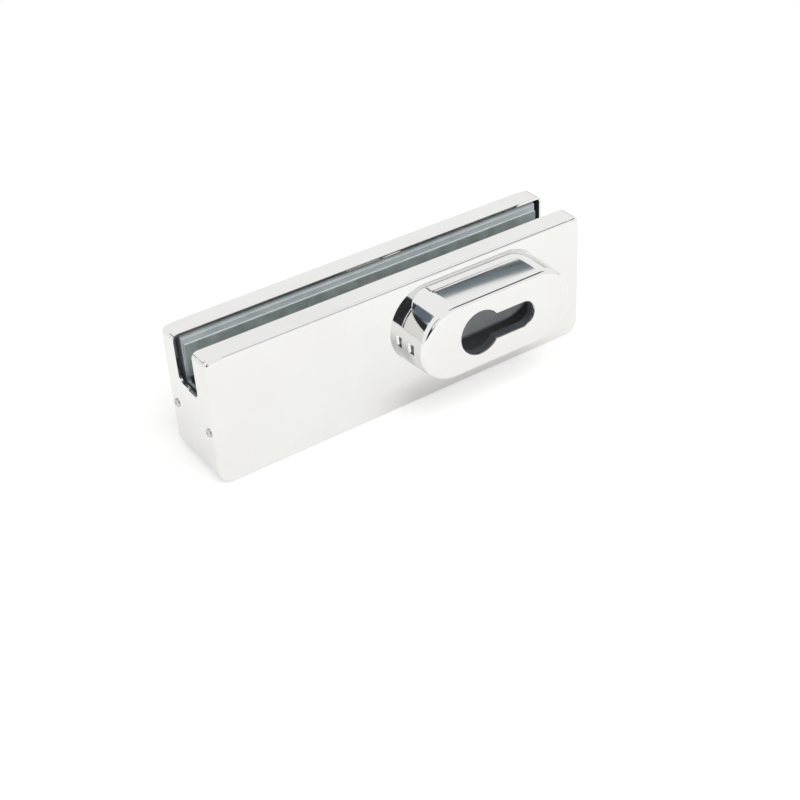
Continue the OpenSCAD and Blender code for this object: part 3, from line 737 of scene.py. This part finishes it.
@dataclass
class EndScrews:
    """The pair of small screws in one end of the lock, each a domed head with a cross recess."""

    node: str
    side: int
    half: float = 82.5 * MM
    y: float = 12.0 * MM
    z: float = 21.3 * MM
    head_r: float = 1.7 * MM
    head_h: float = 0.8 * MM
    brim: float = 0.22 * MM
    shank_r: float = 1.25 * MM
    length: float = 6.5 * MM
    recess_r: float = 1.0 * MM
    recess_w: float = 0.42 * MM
    recess_floor: float = 0.1 * MM
    recess_top: float = 1.2 * MM
    floor_part: tuple[float, float] = (0.55, 0.8)
    under: float = 0.04 * MM
    point: float = 0.5 * MM
    worn: float = 0.05 * MM
    turns: tuple[float, float] = (24.0, 67.0)
    dome_from: float = 6.0
    dome_steps: int = 12
    sharp_over: float = 40.0

    def _profile(self) -> list[tuple[float, float]]:
        """Gives radius and height of the screw's outline, from the dome's top down to the shank's end."""
        crown = self.head_h - self.brim
        dome = [(self.head_r * math.sin(math.radians(a)), self.brim + crown * math.cos(math.radians(a)))
                for a in steps(self.dome_from, 90, self.dome_steps)]
        return dome + [(self.head_r, self.under), (self.head_r - self.under, 0.0), (self.shank_r, 0.0),
                       (self.shank_r, self.point - self.length), (self.shank_r - self.point, -self.length)]

    def _turned(self) -> bmesh.types.BMesh:
        """Builds one screw as a turned body, standing on its axis at the origin."""
        mesh = bmesh.new()
        turns = [math.tau * i / ROUND_STEPS for i in range(ROUND_STEPS)]
        rings = [[mesh.verts.new((r * math.cos(turn), r * math.sin(turn), h)) for turn in turns]
                 for r, h in self._profile()]
        mesh.faces.new(rings[0])
        for ring, lower in zip(rings, rings[1:]):
            for i in range(ROUND_STEPS):
                j = (i + 1) % ROUND_STEPS
                mesh.faces.new([ring[i], lower[i], lower[j], ring[j]])
        mesh.faces.new(rings[-1][::-1])
        return mesh

    def _recess(self) -> bmesh.types.BMesh:
        """Builds the cross that the driver leaves, narrower at its floor."""
        mesh = bmesh.new()
        for quarter in (0, 90):
            spin = Matrix.Rotation(math.radians(quarter), 4, "Z")
            made = bmesh.ops.create_cube(mesh, size=1.0)["verts"]
            for vertex in made:
                floor = vertex.co.z < 0
                long, wide = self.floor_part if floor else (1.0, 1.0)
                vertex.co.x *= 2 * self.recess_r * long
                vertex.co.y *= self.recess_w * wide
                vertex.co.z = self.recess_floor if floor else self.recess_top
                vertex.co = spin @ vertex.co
        return mesh

    def build(self, finish: bpy.types.Material) -> None:
        """Makes both screws in their CAD node's place.

        Args:
            finish: The material of the screws.
        """
        for name, turn, y in zip(("front", "rear"), self.turns, (-self.y, self.y)):
            piece = object_of(self._turned(), f"{self.node}_{name}")
            cut_away(piece, self._recess(), use_self=True)
            ease_edges(piece, self.worn)
            piece.data.transform(Matrix.Translation((self.side * self.half, y, self.z))
                                 @ Matrix.Rotation(math.radians(90 * self.side), 4, "Y")
                                 @ Matrix.Rotation(math.radians(turn), 4, "Z"))
            smooth(piece, self.sharp_over)
            wear(piece, finish)
            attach(piece, "lock_body")
            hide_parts(self.node)
            LOG.info("%s: %d faces", piece.name, len(piece.data.polygons))


@dataclass
class Gaskets:
    """The fibre gaskets that lie between the clamp plates and the glass, with their die-cut edges eased."""

    nodes: tuple[str, ...] = ("front_gasket", "rear_gasket")
    ease: float = 0.22 * MM
    weld: float = 0.002 * MM
    flat_within: float = math.radians(1)
    edge_normal: float = 0.95

    def build(self, face: bpy.types.Material, cut: bpy.types.Material) -> None:
        """Makes each gasket in its CAD node's place.

        Args:
            face: The material of the pressed faces.
            cut: The material of the edges, paler as a painted highlight.
        """
        for node in self.nodes:
            mesh = bmesh.new()
            mesh.from_mesh(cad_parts[node].data)
            bmesh.ops.remove_doubles(mesh, verts=mesh.verts, dist=self.weld)
            bmesh.ops.dissolve_limit(mesh, angle_limit=self.flat_within, verts=mesh.verts,
                                     edges=mesh.edges)
            piece = object_of(mesh, node + "_sheet")
            ease_edges(piece, self.ease)
            wear(piece, face, cut)
            # Faces turned along X or Z, the edges, take the paler material: a painted highlight.
            for side in piece.data.polygons:
                upright = max(abs(side.normal.x), abs(side.normal.z))
                side.material_index = int(upright > self.edge_normal)
            smooth(piece)
            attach(piece, "lock_body")
            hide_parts(node)
            LOG.info("%s: %d faces", piece.name, len(piece.data.polygons))


@dataclass
class CarriedNodes:
    """The CAD nodes that keep their own meshes and take a finish each, the boss core's darkened as painted
    shade.
    """

    finishes: dict[str, Finish] = field(default_factory=lambda: {
        # The boss core's finish is painted shade: dark so the hollow behind the hole looks shaded.
        "front_clamp_plate": DIE_CAST_ZINC, "rear_clamp_plate": DIE_CAST_ZINC, "boss_core": CORE_ZINC_PAINTED_SHADE,
        "left_glass_pad": MOULDED_RUBBER, "right_glass_pad": MOULDED_RUBBER,
        "lock_case": PHOSPHATED_STEEL, "case_lid": PHOSPHATED_STEEL,
        "core_screws": BRIGHT_ZINC_STEEL, "case_screws": BRIGHT_ZINC_STEEL,
        "stop_pin": BRIGHT_ZINC_STEEL, "cylinder_screw": BRIGHT_ZINC_STEEL,
        "clamp_screws": BRIGHT_ZINC_STEEL, "clamp_dowels": BRIGHT_ZINC_STEEL,
        "bolt": GROUND_STEEL, "bolt_spring": ROLLED_BRONZE})
    unmirrored: tuple[str, ...] = ("boss_core", "core_screws")

    def dress(self) -> None:
        """Gives every carried node its finish."""
        made: dict[str, bpy.types.Material] = {}
        for name, finish in self.finishes.items():
            material = made.setdefault(finish.name, finish.material())
            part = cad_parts[name]
            wear(part, material)
            part.visible_glossy = name not in self.unmirrored
            LOG.info("%s: %s", name, material.name)


@dataclass(frozen=True)
class Card:
    """A dark card that only reflections see, set out by compass bearing and height in degrees."""

    name: str
    corners: tuple[tuple[float, float], ...]
    fade: float | tuple[float, ...]
    shade: str = "#2b2f32"
    distance: float = 1.5

    def _spot(self, azimuth: float, elevation: float) -> Vector:
        """Gives the place in the room at a bearing and height."""
        turn, lift = math.radians(azimuth), math.radians(elevation)
        level = math.cos(lift)
        return self.distance * Vector((level * math.cos(turn), level * math.sin(turn), math.sin(lift)))

    def _cloth(self) -> bpy.types.Material:
        """Makes the card's cloth, which thins out to nothing over its frayed border."""
        made, tree = node_material(self.name + "_cloth")
        dark = add_node(tree, "ShaderNodeEmission", {"Color": linear(self.shade), "Strength": 1.0})
        clear = add_node(tree, "ShaderNodeBsdfTransparent")
        weave = add_node(tree, "ShaderNodeAttribute", {"attribute_name": "weave"})
        both = add_node(tree, "ShaderNodeMixShader", links={
            0: eased(tree, weave.outputs["Fac"], 0.0, 1.0), 1: clear.outputs[0], 2: dark.outputs[0]})
        add_node(tree, "ShaderNodeOutputMaterial", links={"Surface": both.outputs[0]})
        return made

    def hang(self) -> None:
        """Hangs the card in the room."""
        count = len(self.corners)
        middle = Vector((sum(c[0] for c in self.corners) / count, sum(c[1] for c in self.corners) / count))
        mesh = bmesh.new()
        weave = mesh.verts.layers.float.new("weave")
        full = [mesh.verts.new(self._spot(*c)) for c in self.corners]
        for vertex in full:
            vertex[weave] = 1.0
        fades = self.fade if isinstance(self.fade, tuple) else (self.fade,) * count
        outer = [middle + (Vector(c) - middle) * (1 + f / (Vector(c) - middle).length)
                 for c, f in zip(self.corners, fades)]
        border = [mesh.verts.new(self._spot(*c)) for c in outer]
        mesh.faces.new(full)
        wall_between(mesh, full, border)
        card = object_of(mesh, self.name)
        wear(card, self._cloth())
        card.visible_camera = card.visible_diffuse = False
        card.visible_shadow = card.visible_transmission = False


@dataclass
class Studio:
    """Pale floor, soft light all round, dark cards for the metal to show, and the camera."""

    lens: float = 62.65
    place: tuple[float, float, float] = (-0.2399, -0.3814, 0.3027)
    right: tuple[float, float, float] = (0.8202, -0.5697, -0.0524)
    forward: tuple[float, float, float] = (0.4451, 0.6930, -0.5672)
    near_clip: float = 10 * MM
    room_light: float = 0.66
    floor_half: float = 4.0
    floor_drop: float = 0.02 * MM
    floor_sheen: float = 0.16
    floor_glow: float = 0.5
    floor_clears: tuple[float, float] = (0.2, 0.5)
    lamp_place: tuple[float, float, float] = (0.0, -0.70, 1.1)
    lamp_size: float = 0.8
    lamp_watts: float = 9.0
    cards: tuple[Card, ...] = (
        Card("card_behind", ((44, 34.0), (54, 34.0), (59, 35.2), (60, 36.2), (56, 36.0), (50, 35.2),
                             (44, 35.0)), (0.4, 0.3, 0.3, 0.8, 1.8, 1.2, 1.0), "#353d41"),
        Card("card_behind_pale", ((44, 34.0), (54, 34.0), (59, 35.4), (60, 37.6), (55, 38.2), (50, 37.2),
                                  (44, 36.8)), (0.4, 0.3, 0.3, 1.2, 2.2, 1.0, 0.8), "#6f7b82", 1.6),
        Card("card_behind_low", ((37, 3), (47, 3), (47, 12), (37, 12)), 5.0, "#a9a9a6"),
        Card("card_far_left", ((127, 20), (146, 18), (146, 30), (134, 34), (127, 33)),
             (1.5, 1.5, 4.0, 6.0, 6.0)),
        Card("card_far_left_top", ((107, 40), (124, 31), (131, 33), (113, 45)), 1.5),
        Card("card_far_left_pale", ((112, 45), (132, 34), (134, 42), (118, 50)), 4.0, "#65707c", 1.6),
        Card("card_front", ((-66, 45), (-50, 38), (-22, 33), (-22, 48), (-48, 50), (-66, 54)), 1.5),
        Card("card_by_camera", ((-137, -4), (-112, -4), (-106, -12), (-86, -12), (-90, 6), (-108, 12),
                                (-120, 26), (-114, 34), (-99, 38), (-100, 42), (-108, 44), (-118, 42),
                                (-124, 36), (-129, 30), (-132.5, 22), (-136, 8)), 0.5))

    def set_camera(self) -> None:
        """Stands the camera where the photograph was taken from."""
        lens = bpy.data.cameras.new("camera")
        lens.lens = self.lens
        lens.clip_start = self.near_clip
        camera = bpy.data.objects.new("camera", lens)
        bpy.context.scene.collection.objects.link(camera)
        back = -Vector(self.forward).normalized()
        side = Vector(self.right).normalized()
        up = back.cross(side).normalized()
        turn = Matrix((side, up, back)).transposed().to_4x4()
        camera.matrix_world = Matrix.Translation(self.place) @ turn
        bpy.context.scene.camera = camera

    def _seen_white(self, tree: bpy.types.NodeTree) -> bpy.types.NodeSocket:
        """Gives 1 for rays from the camera, a mirror or glass, and 0 for the light that falls on the lock."""
        rays = add_node(tree, "ShaderNodeLightPath").outputs
        metal = joined(tree, "MAXIMUM", rays["Is Camera Ray"], rays["Is Glossy Ray"])
        return joined(tree, "MAXIMUM", metal, rays["Is Transmission Ray"])

    def set_world(self) -> None:
        """Lights the lock evenly from all round, with white behind it."""
        world = bpy.data.worlds.new("studio")
        world.use_nodes = True
        tree = world.node_tree
        tree.nodes.clear()
        level = add_node(tree, "ShaderNodeMapRange", {"To Min": self.room_light, "To Max": 1.0},
                         {"Value": self._seen_white(tree)})
        light = add_node(tree, "ShaderNodeBackground", {"Color": linear(WHITE)},
                         {"Strength": level.outputs["Result"]})
        add_node(tree, "ShaderNodeOutputWorld", links={"Surface": light.outputs["Background"]})
        bpy.context.scene.world = world

    def _board(self) -> bpy.types.Material:
        """Makes the floor's board, which lights the lock as it is but turns white away from it.

        Returns:
            A matt material: the camera sees it a little brighter, and plain white farther out.
        """
        made, tree = node_material("matt_white_board")
        rays = add_node(tree, "ShaderNodeLightPath").outputs
        sheen = add_node(tree, "ShaderNodeMath", {"operation": "MULTIPLY", 1: self.floor_sheen},
                         {0: rays["Is Glossy Ray"]})
        lift = add_node(tree, "ShaderNodeEmission", {"Color": linear(WHITE)}, {"Strength": sheen.outputs[0]})
        board = add_node(tree, "ShaderNodeBsdfDiffuse", {"Color": linear("#f1f1f0")})
        shaded = add_node(tree, "ShaderNodeAddShader", links={0: board.outputs[0], 1: lift.outputs[0]})
        pale = add_node(tree, "ShaderNodeBsdfDiffuse", {"Color": linear("#c6c6c5")})
        glow = add_node(tree, "ShaderNodeEmission", {"Color": linear(WHITE), "Strength": self.floor_glow})
        near = add_node(tree, "ShaderNodeAddShader", links={0: pale.outputs[0], 1: glow.outputs[0]})
        place = add_node(tree, "ShaderNodeTexCoord").outputs["Object"]
        away = add_node(tree, "ShaderNodeVectorMath", {"operation": "LENGTH"}, {"Vector": place})
        white = add_node(tree, "ShaderNodeEmission", {"Color": linear(WHITE), "Strength": 1.0})
        clean = add_node(tree, "ShaderNodeMixShader", links={
            0: eased(tree, away.outputs["Value"], *self.floor_clears),
            1: near.outputs[0], 2: white.outputs[0]})
        pick = add_node(tree, "ShaderNodeMixShader", links={
            0: rays["Is Camera Ray"], 1: shaded.outputs[0], 2: clean.outputs[0]})
        add_node(tree, "ShaderNodeOutputMaterial", links={"Surface": pick.outputs[0]})
        return made

    def lay_floor(self) -> None:
        """Lays a matt white board that shows white but keeps the lock's shadow."""
        mesh = bmesh.new()
        bmesh.ops.create_grid(mesh, x_segments=1, y_segments=1, size=self.floor_half)
        floor = object_of(mesh, "floor")
        floor.location.z = -self.floor_drop
        wear(floor, self._board())

    def hang_softbox(self) -> None:
        """Hangs one wide soft lamp above the front, to light into the glass slot."""
        lamp = bpy.data.lights.new("softbox", "AREA")
        lamp.shape = "SQUARE"
        lamp.size = self.lamp_size
        lamp.energy = self.lamp_watts
        box = bpy.data.objects.new("softbox", lamp)
        box.location = self.lamp_place
        box.rotation_euler = (-box.location.normalized()).to_track_quat("-Z", "Y").to_euler()
        box.visible_glossy = False
        bpy.context.scene.collection.objects.link(box)

    def build(self) -> None:
        """Sets up the whole studio."""
        self.set_camera()
        self.set_world()
        self.lay_floor()
        for card in self.cards:
            card.hang()
        self.hang_softbox()
        bpy.context.scene.view_settings.view_transform = "Standard"


def main() -> None:
    """Builds the pieces in order and sets them in the studio."""
    logging.basicConfig(level=logging.INFO, format="%(name)s %(message)s", stream=sys.stdout)
    Covers().build()
    screw_finish = TUMBLED_STAINLESS.material()
    for screws in (EndScrews("left_end_screws", -1), EndScrews("right_end_screws", 1)):
        screws.build(screw_finish)
    Gaskets().build(PRESSED_FIBRE.material(), FIBRE_EDGE_PAINTED_HIGHLIGHT.material())
    CarriedNodes().dress()
    Studio().build()


if __name__ == "__main__":
    main()
